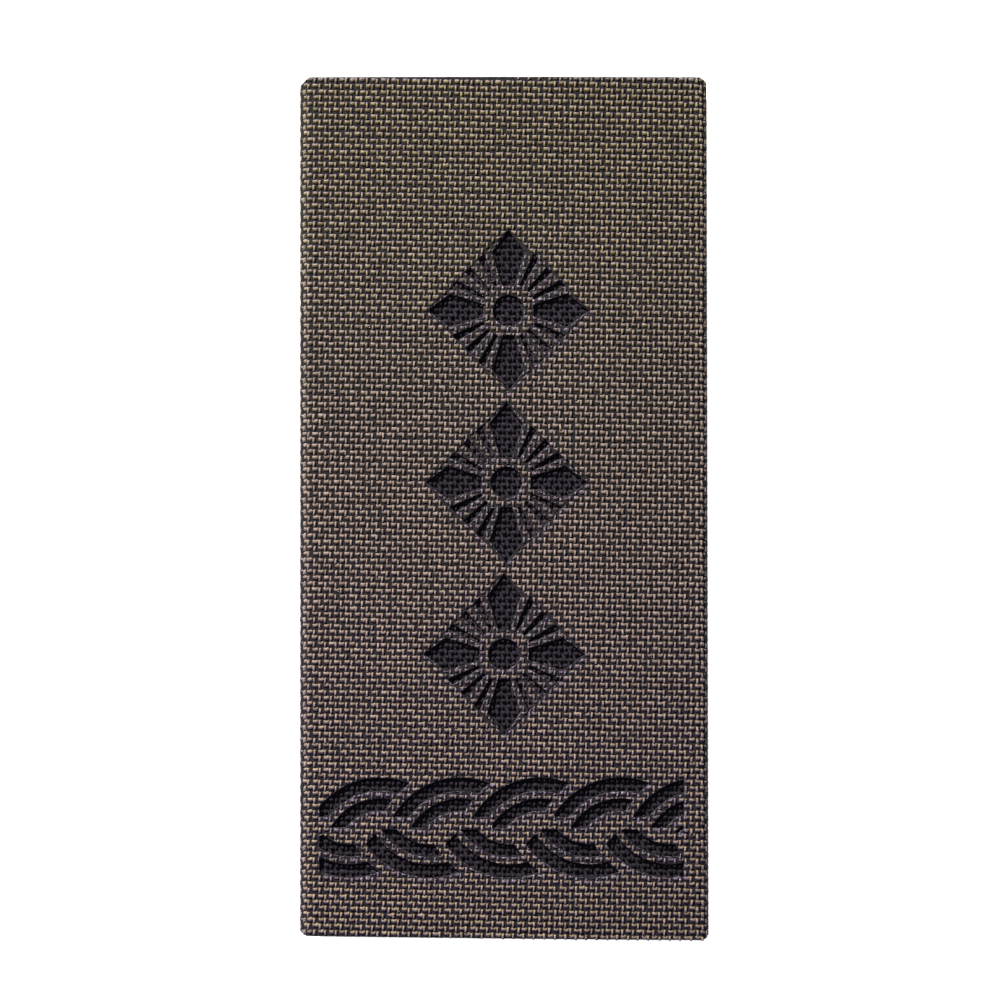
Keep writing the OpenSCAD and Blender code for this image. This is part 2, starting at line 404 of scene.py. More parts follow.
def sealed_finish(name, dark, pale):
    finish, wire, shader = new_finish(name, specular=0.3)
    place = place_on_board(wire)
    beads = wire.node("ShaderNodeTexVoronoi", {"feature": "SMOOTH_F1"}, {"Vector": place, "Scale": 3800.0})
    drift = noise(wire, place, 1500.0, 4.0, 0.7)
    # painted light: beads on the lower right of a cut, which face the lamp, are painted pale in drifts
    mask = ramp_up(wire, drift, 0.53, 0.7) * attribute(wire, "blown")
    bump = bumps(wire, 0.8, 0.00012, 1.0 - beads + drift)
    colour = mask.blend(rgba(*dark), rgba(*pale))
    feed(shader, wire.tree, Base_Color=colour, Roughness=0.5 - mask * 0.2, Normal=bump)
    return finish


def inner_weave_finish(name, weft, warp):
    finish, wire, shader = new_finish(name, sheen=0.2)
    place = place_on_board(wire)
    wave_x = wire.sum("SINE", axis(wire, place, 0) * (math.pi / PITCH_S / MM), 0.0)
    wave_y = wire.sum("SINE", axis(wire, place, 1) * (math.pi / PITCH_Y / MM), 0.0)
    wave = wave_x * wave_y
    swell = wire.sum("ABSOLUTE", wave, 0.0) ** 0.4
    fleck = noise(wire, place, 2600.0, 3.0)
    colour = wire.sum("GREATER_THAN", wave, 0.0).blend(rgba(*warp), rgba(*weft))
    # painted shade: the colour is darker where the two waves cross nought, between the floats
    lit = scaled(wire, colour, swell * 0.8 + fleck * 0.4)
    bump = bumps(wire, 1.0, 0.00025, swell + fleck * 0.2)
    feed(shader, wire.tree, Base_Color=lit, Roughness=0.55 + fleck * 0.3, Normal=bump)
    return finish


# the taupe cloth's ground is painted nearly black, as painted shade deep between the yarns
gap_taupe = gap_finish("taupe_gap_shade", (28, 27, 28), (26, 24, 32))
gap_dark = gap_finish("dark_gap", (40, 37, 44), (39, 36, 43))
# the second paint of each is the pale painted light on beads that face the lamp
sealed_taupe = sealed_finish("taupe_sealed", (22, 19, 22), (122, 113, 130))
sealed_end = sealed_finish("taupe_sealed_end", (40, 35, 38), (96, 84, 84))
inner_taupe = inner_weave_finish("taupe_inner", (120, 104, 92), (136, 120, 102))
inner_dark = inner_weave_finish("dark_inner", (36, 34, 42), (32, 30, 37))
print("finishes behind the yarns:", [m.name for m in (gap_taupe, gap_dark, sealed_taupe, inner_taupe)])

# %% [markdown]
# ## Keeping a piece
#
# Every piece ends the same way: its mesh gets an object, its finishes and its shading, and it is tied to
# the board's one body. That is written once here.

# %% From mesh to piece
def keep_mesh(mesh, name, finishes, smooth=True):
    piece = bpy.data.objects.new(name, mesh)
    bpy.context.scene.collection.objects.link(piece)
    mesh.materials.clear()
    for finish in finishes:
        mesh.materials.append(finish)
    mesh.polygons.foreach_set("use_smooth", [smooth] * len(mesh.polygons))
    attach(piece, "root")
    print(f"{name}: {sum(len(p.vertices) - 2 for p in mesh.polygons)} triangles")
    return piece


def mesh_from(bm, name):
    mesh = bpy.data.meshes.new(name)
    bm.to_mesh(mesh)
    bm.free()
    return mesh


def merged_copy(node):
    bm = bmesh.new()
    bm.from_mesh(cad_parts[node].data)
    bmesh.ops.remove_doubles(bm, verts=bm.verts, dist=1e-6)
    return bm


print("the packed nodes are", sorted(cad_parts))

# %% [markdown]
# ## The ground of the sleeve
#
# The yarns need something to stand on, and the eye must not see through between them. The ground is a
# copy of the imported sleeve. The copy is merged first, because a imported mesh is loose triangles. Its
# faces are sorted by where they look: outwards, along the cut walls and ends, or into the tunnel. The
# edges between the first two kinds are the cut line, which is needed again later.

# %% Sort the faces of the copy
SKIN_NEAR = 0.08
OUTWARDS, LEVEL, UPRIGHT = 0.7, 0.97, 0.3  # how far a face's normal agrees with a direction
WINDOW_X, FACE_LOW, FACE_TOP = 23, 7.0, 8.0  # the windows lie within this x, in walls above this z
ground = merged_copy("sleeve")
at = np.array([v.co for v in ground.verts]) / MM
h, out_x, out_z = height_on_section(at[:, 0], at[:, 2])
on_skin = np.abs(h) < SKIN_NEAR
skin_faces, cut_edges, face_faces = set(), [], []
for f in ground.faces:
    middle = f.calc_center_median() / MM
    out = np.mean([(out_x[v.index], out_z[v.index]) for v in f.verts], axis=0)
    outwards = f.normal.x * out[0] + f.normal.z * out[1] > OUTWARDS
    cut_wall = abs(f.normal.z) < UPRIGHT and middle.z > FACE_LOW and abs(middle.x) < WINDOW_X
    if outwards and all(on_skin[v.index] for v in f.verts):
        skin_faces.add(f.index)
        f.material_index = 0
        if f.normal.z > LEVEL and middle.z > FACE_TOP:
            face_faces.append([v.co.copy() for v in f.verts])
    elif abs(f.normal.y) > OUTWARDS or cut_wall:
        f.material_index = 1
    else:
        f.material_index = 2
for e in ground.edges:
    if len(e.link_faces) == 2 and sum(f.index in skin_faces for f in e.link_faces) == 1:
        wall = next(f for f in e.link_faces if f.index not in skin_faces)
        is_end = abs(wall.normal.y) > 0.95 and abs(e.verts[0].co.y) > 52 * MM
        cut_edges.append((e.verts[0].index, e.verts[1].index, is_end))
print("outer skin:", len(skin_faces), "faces; cut line:", len(cut_edges), "edges")

# %% [markdown]
# Then the outer skin sinks by 0.3 mm, so that the yarns laid on it reach the sleeve's true surface
# and go hardly past it. On the outer shoulder of the two top folds it sinks much less. Seen from
# above that shoulder is the outline of the board, and it has to stay a straight line.

# %% Sink the skin
SINK = 0.30
SHOULDER_X, SHOULDER_WIDE, SHOULDER_KEEPS = 24.55, 0.3, 0.82
for v in ground.verts:
    if on_skin[v.index]:
        at_fold = at[v.index][2] > FOLD_Z - 0.05
        shoulder = min(1, max(0, (abs(at[v.index][0]) - SHOULDER_X) / SHOULDER_WIDE))
        deep = SINK * (1 - SHOULDER_KEEPS * at_fold * shoulder)
        v.co.x -= out_x[v.index] * deep * MM
        v.co.z -= out_z[v.index] * deep * MM
for v in ground.verts:
    v.co.x = spread(v.co.x / MM, v.co.y / MM) * MM
sunk_at = [v.co.copy() for v in ground.verts]
ground_finishes = [gap_taupe, sealed_end, inner_taupe]
ground_mesh = mesh_from(ground, "sleeve_cloth")
sleeve_cloth = keep_mesh(ground_mesh, "sleeve_cloth", ground_finishes, smooth=False)
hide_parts("sleeve")
print(int(on_skin.sum()), "points of the skin sank")

# %% [markdown]
# ## Where the cloth is cut away
#
# The yarns must stop at the cuts. Two questions are asked of every point of a yarn: is there cloth
# under it, and if not, where is the nearest edge? The first is answered by dropping a ray onto the
# face, and the second by a tree of closely spaced points along the cut line.

# %% Cloth or window?
RIM_STEP, RAY_FROM = 0.06, 0.02
corners = [p for tri in face_faces for p in tri]
face_tree = BVHTree.FromPolygons(corners, [(i, i + 1, i + 2) for i in range(0, len(corners), 3)])
window_edges = [
    (a, b) for a, b, is_end in cut_edges if not is_end and abs(at[a][0]) < WINDOW_X and at[a][2] > FACE_LOW
]
rim_points = []
for a, b in window_edges:
    pa, pb = at[a], at[b]
    steps = max(1, int(np.linalg.norm(pb - pa) / RIM_STEP))
    rim_points += [tuple(pa + (pb - pa) * (k / steps)) for k in range(steps)]
rim_tree = KDTree(len(rim_points))
for k, p in enumerate(rim_points):
    rim_tree.insert((p[0], p[1], 0.0), k)
rim_tree.balance()


def cloth_under(x, y):
    found = face_tree.ray_cast(Vector((x * MM, y * MM, RAY_FROM)), Vector((0, 0, -1)), RAY_FROM)
    return found[0] is not None


print("cut line of the windows:", len(rim_points), "points; cloth at the corner:", cloth_under(-20, 45))

# %% [markdown]
# ## What the cutter did to the stars
#
# Each star is a diamond. Inside it the cuts lie so close that the strips between them are worn and a
# little darker. To its upper left and lower right the cuts are as narrow as one yarn and run along the
# lamp's light, so the dark yarns in them are raised a little and painted paler, as painted light. These
# two rules say where a yarn has to show that.

# %% Worn strips, and slits with painted light
STARS = ((0.07, -17.93), (0.34, 3.22), (0.61, 24.37))  # the middles of the three eyes
STAR_REACH, RING_R, RING_WEAR = 10.1, 3.5, 0.35
NARROW = ((0.7, 0), (0, 0.7), (0.5, 0.5), (0.5, -0.5))
SLITS_FROM, SLITS_TO, SLITS_TURN = 3.3, 9.0, 31


def wear(x, y):
    """1 on the narrow strips that are left between two windows, 0 on whole cloth."""
    for ax, ay in NARROW:
        if not cloth_under(x + ax, y + ay) and not cloth_under(x - ax, y - ay):
            return 1.0
    for cx, cy in STARS:
        inside = STAR_REACH - abs(x - cx) - abs(y - cy)
        if inside > 0:
            return min(1.0, inside / 0.5) * (RING_WEAR if math.hypot(x - cx, y - cy) < RING_R else 1.0)
    return 0.0


def between_rays(x, y):
    """True in the upper left and lower right of a star, where the slits run along the lamp's light and the
    dark floats in them are painted paler, as painted light.
    """
    for cx, cy in STARS:
        r, turn = math.hypot(x - cx, y - cy), math.degrees(math.atan2(y - cy, x - cx))
        if SLITS_FROM < r < SLITS_TO and (abs(turn - 135) < SLITS_TURN or abs(turn + 45) < SLITS_TURN):
            return True
    return False


print("cloth in the lowest star's eye:", cloth_under(*STARS[0]), "; wear between its rays:", wear(4, -14))

# %% [markdown]
# ## One float of yarn
#
# In plain weave every yarn goes over one and under the next. What shows is the part on top, a little
# pillow called a float. A float starts as a small grid. Its points are squeezed to a rounded outline
# and lifted until the section is round across the yarn and bowed along it, and its rim dips below the
# ground. The rows of the grid aren't evenly spaced: `RINGS` puts them where the float bends most, so
# that a few faces are enough. A bar of the warp rises a little towards its lower end and stops there
# abruptly, because it dives under the next weft yarn.
#
# The whole cell of the weave has four floats: two of the weft, which lie across the board, and two
# slim ones of the warp, which lean against them. The face gets finer floats than the back.

# %% The weave's cell
RINGS = {"s": (-1, -0.78, -0.28, 0.28, 0.78, 1), "y": (-1, -0.93, -0.75, 0.2, 0.85, 1)}
ACROSS = {0: 0, 5: 0.64, 10: 1}  # the fine grid's even tenths across a yarn, and where they go
# how square the section is, how abrupt the upper and lower end, how far the crest leans, how low the rim
FORM = {"s": (2.2, 4, 4, 0.0, -0.36), "y": (3, 10, 24, 0.05, -0.42)}
WEFT_HALF, WEFT_TOP = (0.35, 0.285), 0.03
WARP_HALF, WARP_TOP, WARP_ASIDE, WARP_BELOW = (0.15, 0.335), 0.12, 0.13, 0.125
FINE = 5


def add_float(bm, centre, half, top, along, material, long, wide):
    before = set(bm.verts)
    columns, rows = (long, wide) if along == "s" else (wide, long)
    bmesh.ops.create_grid(bm, x_segments=columns, y_segments=rows, size=1.0, calc_uvs=True)
    round_off, upper_bow, lower_bow, lift, foot = FORM[along]
    for v in set(bm.verts) - before:
        u, w = v.co.x, v.co.y
        lengthwise, crosswise = (u, w) if along == "s" else (w, u)
        if long == FINE:
            lengthwise = RINGS[along][round((lengthwise + 1) * 2.5)]
            crosswise = math.copysign(ACROSS[round(abs(crosswise) * 10)], crosswise)
            u, w = (lengthwise, crosswise) if along == "s" else (crosswise, lengthwise)
        bow = upper_bow if lengthwise > 0 else lower_bow
        section = math.sqrt(max(0.0, 1 - abs(crosswise) ** round_off))
        rise = section * math.sqrt(max(0.0, 1 - lengthwise**bow))
        if along == "s":
            u, w = u * math.sqrt(1 - 0.25 * w * w), w * math.sqrt(1 - 0.35 * u * u) - 0.05 * u
        z = foot + (top - foot - lift * lengthwise) * rise
        v.co = (centre[0] + u * half[0], centre[1] + w * half[1], z)
        for f in v.link_faces:
            f.material_index = material


def weave_cell(name, long, wide):
    bm = bmesh.new()
    bm.loops.layers.uv.new("flat")
    for row in (0, 1):
        add_float(bm, (row * PITCH_S, row * PITCH_Y), WEFT_HALF, WEFT_TOP, "s", 0, long, wide)
        bar = ((row + 1) * PITCH_S - WARP_ASIDE, row * PITCH_Y - WARP_BELOW)
        add_float(bm, bar, WARP_HALF, WARP_TOP, "y", 1, long, wide)
    return mesh_from(bm, name)


fine_cell, coarse_cell = weave_cell("fine_cell", FINE, 4), weave_cell("coarse_cell", 3, 3)
faces = [len(cell.polygons) // 4 for cell in (fine_cell, coarse_cell)]
print("a fine float has", faces[0], "faces and a coarse one", faces[1])

# %% [markdown]
# ## A flat panel of floats
#
# Two Array modifiers repeat the cell into a flat panel, which is then made an ordinary mesh. Its
# points are moved in one go, with the whole panel in one array: every float gets its own small error
# in length, width, height and turn, every yarn wanders a little, and the weft runs one degree
# downhill. The random numbers come from a seed, so that the cloth is the same each time.

# %% Roll out a panel
def flat_panel(cell, cells_s, cells_y):
    roll = bpy.data.objects.new("roll", cell)
    bpy.context.scene.collection.objects.link(roll)
    for count, step in ((cells_s, (2 * PITCH_S, 0, 0)), (cells_y, (0, 2 * PITCH_Y, 0))):
        repeat = roll.modifiers.new("repeat", "ARRAY")
        repeat.use_relative_offset, repeat.use_constant_offset = False, True
        repeat.constant_offset_displace, repeat.count = step, count
    panel = bpy.data.meshes.new_from_object(roll.evaluated_get(bpy.context.evaluated_depsgraph_get()))
    bpy.data.objects.remove(roll)
    return panel


# %% The small errors of the loom
WAVES = ((3.1, 0.4), (9.0, 0.6), (27.0, 1.0))  # wave lengths along a yarn, and how much each counts
DOWNHILL = 0.0175  # one degree
SLIP, TWIST, TWIST_WEFT, STRETCH = 0.018, 0.055, 0.05, 0.055
TILT, RISE_MEAN, RISE_SPREAD = 0.1, -0.015, 0.022
RIM_BELOW = -0.3  # a float's points below this are its rim and get no lumps


def wander(places, lines, seed, size):
    """A slow drift along each yarn: lines says which yarn, places how far along it."""
    lines = lines - lines.min()
    dice = np.random.RandomState(seed)
    drift = 0.0
    for length, share in WAVES:
        phase, push = dice.uniform(0, 6.28, lines.max() + 1), dice.normal(0, share, lines.max() + 1)
        drift = drift + push[lines] * np.sin(places * 6.283 / length + phase[lines])
    return drift * size


def loosen(co, first_col, first_row, seed):
    """Flat places of all points and of their floats, heights, tones, and which floats are weft."""
    n, per = co.shape[:2]
    dice = np.random.RandomState(seed)
    centre = co.mean(axis=1)
    own = co - centre[:, None] * (1, 1, 0)
    weft = own[:, :, 0].max(1) > 2 * WARP_HALF[0]
    s, y = centre[:, 0] + first_col * PITCH_S, centre[:, 1] + first_row * PITCH_Y
    row, col = np.rint(y / PITCH_Y).astype(int), np.rint(s / PITCH_S).astype(int)
    y = y - DOWNHILL * s + wander(s, row, 7, 0.03)
    s = s + wander(y, col, 11, 0.035)
    s, y = s + dice.normal(0, SLIP, n), y + dice.normal(0, SLIP, n)
    turn = (dice.normal(0, TWIST, n) - TWIST_WEFT * weft)[:, None]
    stretch = 1 + np.clip(dice.normal(0, STRETCH, (n, 2)), -0.15, 0.15)
    u, w = own[:, :, 0] * stretch[:, :1], own[:, :, 1] * stretch[:, 1:]
    lumps = dice.normal(0, SLIP, (n, per, 3)) * (own[:, :, 2:] > RIM_BELOW)
    u, w = u * np.cos(turn) - w * np.sin(turn), u * np.sin(turn) + w * np.cos(turn)
    u, w = u + lumps[:, :, 0], w + lumps[:, :, 1]
    tilt_s, tilt_y = dice.normal(0, TILT, (2, n, 1))
    rise = own[:, :, 2] + dice.normal(RISE_MEAN, RISE_SPREAD, n)[:, None] + lumps[:, :, 2]
    rise = rise + tilt_s * u + tilt_y * w
    tone = np.repeat(np.clip(dice.normal(0.5, 0.25, n), 0, 1), per)
    return s[:, None] + u, y[:, None] + w, s, y, rise, tone, weft


sway = wander(np.linspace(-50, 50, 400), np.zeros(400, int), 7, 0.03)
print("the first weft yarn wanders by up to", round(float(np.abs(sway).max()), 3), "mm")

# %% [markdown]
# ## How floats end
#
# A float whose middle has no cloth under it is left out. One that crosses a cut line has its loose
# end drawn back to the line and pressed down, as the heat that cut it did. Round each star runs a
# line where worn strips meet whole cloth, and floats stay on their own side of that. At the board's
# two ends, and at its four trimmed corners, points that reach too far go back onto the line.

# %% The two ends and the corners
END_TOP, END_LEFT, END_RIGHT = 53.05, -52.72, -53.22  # the braid end is cut a little out of square
TRIMS = ((-1, 1, 1.0), (1, 1, 0.6), (-1, -1, 0.6), (1, -1, 0.6))  # the upper left corner is worn most


def braid_line(x):
    return END_LEFT + (END_RIGHT - END_LEFT) * (x + 25) / 50


def past_end(x, y):
    """How far points are past the nearer of the board's two cut ends."""
    return np.maximum(y - END_TOP, braid_line(x) - y)


def draw_back(x, y):
    """Points past an end or a trimmed corner go back onto the line of the cut."""
    low = braid_line(x)
    y = np.clip(y, low + 0.02, END_TOP - 0.02)
    for sx, sy, trim in TRIMS:
        edge_y = END_TOP if sy > 0 else np.abs(low)
        over = np.maximum(0, sx * x + sy * y - (25 + edge_y - trim))
        x, y = x - sx * over / 2, y - sy * over / 2
    return x, y


print("a point at (26, 54) goes back to", [round(float(c), 2) for c in draw_back(26.0, 54.0)])

# %% At the line round a star
STAR_LINE, LINE_NEAR = 10.0, 0.6
OUTER_GAP, INNER_GAP, OUTER_FOOT, INNER_FOOT = 0.04, 0.06, -0.08, -0.26
LINE_LIT_WIDE, LINE_PAINTED_SHADE, LINE_PAINTED_SHADE_WIDE = 0.3, 2.0, 0.22


def keep_to_side(star, s, y, rise, fused, worn):
    """Moves the points of one float, in place, back to the side of the line that most of it is on."""
    dx, dy = s - star[0], y - star[1]
    past = np.abs(dx) + np.abs(dy) - STAR_LINE
    if np.abs(past).min() >= LINE_NEAR:
        return
    outer = past.mean() > 0
    over = np.maximum(0, OUTER_GAP - past if outer else past + INNER_GAP) * (1 if outer else -1)
    s += np.sign(dx) * over / 2
    y += np.sign(dy) * over / 2
    rise[:] = np.where(over != 0, np.minimum(rise, OUTER_FOOT if outer else INNER_FOOT), rise)
    # painted light: on the lower right of a star the floats by the line are painted melted and glinting,
    # where the step faces the lamp
    lower_right = dx.mean() > 2 and dy.mean() < -2
    if lower_right:
        fused[:] = np.maximum(fused, np.exp(-((past / LINE_LIT_WIDE) ** 2)))
    # painted shade: on all but its lower right, the floats just inside the line are darkened in a narrow
    # band along the step
    elif not outer:
        worn[:] = np.maximum(worn, LINE_PAINTED_SHADE * np.exp(-((past / LINE_PAINTED_SHADE_WIDE) ** 2)))


print("the line round a star is a diamond of", round(STAR_LINE * math.sqrt(2), 1), "mm a side")

# %% At the windows
FACE_S, NEAR_CUT, NEAR_STRIP, PRESSED, WORN_DOWN = 22.9, 1.2, 3, -0.10, 0.06
# painted light: to the lower right of a cut, where the edge faces the lamp, the melted band is painted
# wider
MELT_WIDE, LIT_SIDE_WIDE, LIT_SIDE_X, LIT_SIDE_Y = 0.15, 0.55, 0.45, 0.9


def trim_float(s, y, rise):
    """Draws the points of one float that hang over a window back towards its part on the cloth."""
    on = np.array([cloth_under(a, b) for a, b in zip(s, y)])
    if on.sum() < 3:
        return False
    mid = np.array([s[on].mean(), y[on].mean()])
    anchor = min(np.flatnonzero(on), key=lambda j: np.hypot(s[j] - mid[0], y[j] - mid[1]))
    held = np.array([s[anchor], y[anchor]])
    for j in np.flatnonzero(~on):
        loose, low, high = np.array([s[j], y[j]]), 0.0, 1.0
        for _ in range(5):
            half = (low + high) / 2
            low, high = (half, high) if cloth_under(*(held + (loose - held) * half)) else (low, half)
        s[j], y[j] = held + (loose - held) * low
        rise[j] = min(rise[j], PRESSED)
    return True


def melting(x, y):
    """How far the heat has melted a point, in a narrow strip; to the lower right of a cut, where the edge
    faces the lamp, the strip is painted wider, as painted light.
    """
    rim, _, far = rim_tree.find((x, y, 0))
    blown = max(0, (rim[1] - y) * LIT_SIDE_Y - (rim[0] - x) * LIT_SIDE_X) / max(far, 0.05)
    return math.exp(-((far / (MELT_WIDE + LIT_SIDE_WIDE * blown**2)) ** 2))


def end_at_cuts(s, y, flat_s, flat_y, rise, fused, worn, gone):
    """Changes the taupe floats near the windows, in place."""
    for k in np.flatnonzero(~gone & (np.abs(s) < FACE_S)):
        near = rim_tree.find((s[k], y[k], 0))[2]
        worn[k] = wear(s[k], y[k]) if near < NEAR_STRIP else 0
        rise[k] -= WORN_DOWN * worn[k, 0]
        if near > NEAR_CUT:
            gone[k] = not cloth_under(s[k], y[k])
        else:
            gone[k] = not trim_float(flat_s[k], flat_y[k], rise[k])
            fused[k] = [melting(*point) for point in zip(flat_s[k], flat_y[k])]
        for star in STARS:
            keep_to_side(star, flat_s[k], flat_y[k], rise[k], fused[k], worn[k])


print("melted 0.2 mm below the middle star's eye:", round(melting(0.34, 3.22 - 2.2), 2))

# %% Dark floats in the windows
# painted light: the dark floats in the slits that run with the lamp's light are painted paler, with the
# melted paint, and raised a little
BEHIND_CUT, SLIT_PAINTED_LIGHT, SLIT_RAISE = 0.75, 0.7, 0.08


def show_in_windows(s, y, rise, fused, gone):
    """Leaves only the dark floats that a window shows, and raises those in the stars' upper left and lower
    right slits a little and paints them paler, as painted light.
    """
    for k in np.flatnonzero(~gone & (np.abs(s) < FACE_S)):
        near = rim_tree.find((s[k], y[k], 0))[2]
        gone[k] = near > BEHIND_CUT and cloth_under(s[k], y[k])
        if not gone[k] and between_rays(s[k], y[k]):
            fused[k], rise[k] = SLIT_PAINTED_LIGHT, rise[k] + SLIT_RAISE


print("dark floats reach up to", BEHIND_CUT, "mm behind the edges of the windows")

# %% [markdown]
# ## Laying the weave
#
# Now a panel can be laid. It is rolled out and loosened, its floats end where the cloth does, and the
# flat places are bent onto the section. Round the sides and on the back the floats lie a little
# lower, so that none of them reaches below the plane that the board rests on. Last, the floats that
# have gone are deleted, and each point keeps its three numbers for the finish.

# %% Lay one panel
END_MELT, END_MELT_WIDE = 0.6, 0.25
SIDES_FROM, BACK_FROM = S_FACE + 0.8, S_BACK - 1.0
SIDE_DOWN, BACK_DOWN, SIDE_TOP = 0.05, 0.07, -0.01
DARK_FLAT, DARK_WARP_DOWN, DARK_Y = 0.7, 0.08, 50.6


def lay_weave(name, cell, first_col, cells_s, first_row, cells_y, finishes, slot, seed, dark=None):
    panel = flat_panel(cell, cells_s, cells_y)
    per = len(cell.vertices) // 4
    co = np.zeros(len(panel.vertices) * 3)
    panel.vertices.foreach_get("co", co)
    loose = loosen(co.reshape(-1, per, 3), first_col, first_row, seed)
    flat_s, flat_y, s, y, rise, tone, weft = loose
    gone = past_end(onto_section(s, 0 * s)[0], y) > 0
    fused = END_MELT * np.exp(-((np.maximum(0, END_TOP - 0.1 - flat_y) / END_MELT_WIDE) ** 2))
    worn = np.zeros_like(flat_s)
    if dark is None:
        end_at_cuts(s, y, flat_s, flat_y, rise, fused, worn, gone)
    else:
        show_in_windows(s, y, rise, fused, gone)
        gone |= (np.abs(s) > FACE_S) | (np.abs(y) > DARK_Y)
        rise = rise * DARK_FLAT + dark - DARK_WARP_DOWN * ~weft[:, None]
    turned, below = np.abs(flat_s) > SIDES_FROM, np.abs(flat_s) > BACK_FROM
    rise = np.where(turned, np.minimum(rise - SIDE_DOWN - BACK_DOWN * below, SIDE_TOP), rise)
    x, z = onto_section(flat_s, rise)
    x, flat_y = draw_back(x, flat_y)
    x = spread(x, flat_y)
    panel.vertices.foreach_set("co", (np.stack([x, flat_y, z], axis=-1) * MM).ravel())
    for title, values in (("tone", tone), ("fused", fused.ravel()), ("worn", worn.ravel())):
        panel.attributes.new(title, "FLOAT", "POINT").data.foreach_set("value", values)
    bm = bmesh.new()
    bm.from_mesh(panel)
    bm.verts.ensure_lookup_table()
    drop = [bm.verts[k * per + j] for k in np.flatnonzero(gone) for j in range(per)]
    bmesh.ops.delete(bm, geom=drop, context="VERTS")
    bm.to_mesh(panel)
    bm.free()
    piece = keep_mesh(panel, name, finishes)
    print(f"  {int((~gone).sum())} floats stay of {len(gone)}")
    return piece


# %% The face, in three panels
taupe = [weft_finish, warp_finish]
weave_plain = lay_weave("weave_plain_end", fine_cell, -44, 44, 24, 25, taupe, "taupe_cloth", 1)
weave_stars = lay_weave("weave_stars", fine_cell, -44, 44, -24, 24, taupe, "taupe_cloth", 2)
weave_braid = lay_weave("weave_braid_end", fine_cell, -44, 44, -74, 25, taupe, "taupe_cloth", 3)

# %% The sides and the back
weave_right = lay_weave("weave_back_right", coarse_cell, 44, 26, -74, 74, taupe, "taupe_cloth", 4)
weave_left = lay_weave("weave_back_left", coarse_cell, -74, 15, -74, 74, taupe, "taupe_cloth", 5)

# %% [markdown]
# ## The underlay
#
# Behind the windows lies a second, near-black cloth. It is pressed up a little into each opening, as
# cloth is when it is bonded behind a cut. Its floats are only laid where a window shows them. The rest
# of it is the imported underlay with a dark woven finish.

# %% Dark cloth behind the windows
DARK_SKIN = -0.48  # how far the dark floats lie under the skin of the face
underlay = merged_copy("underlay")
for f in underlay.faces:
    f.material_index = 0 if f.normal.z > 0.5 else 1
underlay_mesh = mesh_from(underlay, "underlay_cloth")
behind = [gap_dark, inner_dark]
underlay_cloth = keep_mesh(underlay_mesh, "underlay_cloth", behind, smooth=False)
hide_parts("underlay")
dark = [dark_weft_finish, dark_warp_finish]
on_stars, on_braid = (-36, 36, -36, 42), (-36, 36, -70, 17)
dark_weave_stars = lay_weave("dark_weave_stars", coarse_cell, *on_stars, dark, "dark_cloth", 6, DARK_SKIN)
dark_weave_braid = lay_weave("dark_weave_braid", coarse_cell, *on_braid, dark, "dark_cloth", 8, DARK_SKIN)

# %% [markdown]
# ## The melted rims
#
# Heat cut these windows, and it left a thin uneven bead along every edge. The cut line is already known
# from the ground, so it becomes a wire, then a curve with a round section, and then a mesh whose points
# are pushed about a little. `blown` marks the beads to the lower right of a window, which face the lamp,
# and there they are painted pale, as painted light. A second, finer bead closes the two ends of the
# sleeve.

# %% Beads along a line of edges
LIT_SIDE_BY = 0.3


def bead(name, edges, radius, finish, rough, step, seed, drop=0.0):
    bm = bmesh.new()
    points = {}
    for a, b in edges:
        for k in (a, b):
            if k not in points:
                points[k] = bm.verts.new(sunk_at[k] - Vector((0, 0, drop * MM)))
        if a != b and bm.edges.get((points[a], points[b])) is None:
            bm.edges.new((points[a], points[b]))
    bmesh.ops.remove_doubles(bm, verts=bm.verts, dist=step * 0.3 * MM)
    for e in list(bm.edges):
        cuts = int(e.calc_length() / (step * MM))
        if cuts:
            bmesh.ops.subdivide_edges(bm, edges=[e], cuts=cuts)
    wire = bpy.data.objects.new(name, mesh_from(bm, name))
    bpy.context.scene.collection.objects.link(wire)
    bpy.context.view_layer.objects.active = wire
    wire.select_set(True)
    bpy.ops.object.convert(target="CURVE")
    wire.data.bevel_depth, wire.data.bevel_resolution = radius * MM, 1
    tube = bpy.data.meshes.new_from_object(wire.evaluated_get(bpy.context.evaluated_depsgraph_get()))
    bpy.data.objects.remove(wire)
    return keep_mesh(roughened(tube, rough, seed), name, [finish])


def roughened(tube, rough, seed):
    """Pushes each point in or out by chance, and marks the beads on the lower right of a cut, which face
    the lamp and are painted pale as painted light.
    """
    dice = np.random.RandomState(seed)
    co, normal = np.zeros(len(tube.vertices) * 3), np.zeros(len(tube.vertices) * 3)
    tube.vertices.foreach_get("co", co)
    tube.vertices.foreach_get("normal", normal)
    push = dice.normal(0, rough, len(tube.vertices)) * MM
    tube.vertices.foreach_set("co", co + normal * np.repeat(push, 3))
    blown = [
        float(cloth_under(x + LIT_SIDE_BY, y - LIT_SIDE_BY) and not cloth_under(x - LIT_SIDE_BY, y + LIT_SIDE_BY))
        for x, y in co.reshape(-1, 3)[:, :2] / MM
    ]
    tube.attributes.new("blown", "FLOAT", "POINT").data.foreach_set("value", blown)
    return tube


end_edges = [(a, b) for a, b, is_end in cut_edges if is_end]
window_rims = bead("window_rims", window_edges, 0.10, sealed_taupe, 0.03, 0.28, 21, drop=0.12)
end_rims = bead("end_rims", end_edges, 0.05, sealed_end, 0.01, 0.35, 22)

# %% [markdown]
# ## The back seam
#
# At the back one edge of the cloth laps over the other. Two rows of short stitches hold them. One
# stitch is a small stretched ball, and an Array would do for a row, but each stitch here sits a
# little out of line in its own way, so they are made one after another.

# %% Two rows of stitches
SEAM_X, SEAM_END, STITCH_STEP, STITCH_Z = 3.6, 50.5, 3.0, 0.1
STITCH_HALF = (0.17 * MM, 1.15 * MM, 0.14 * MM)


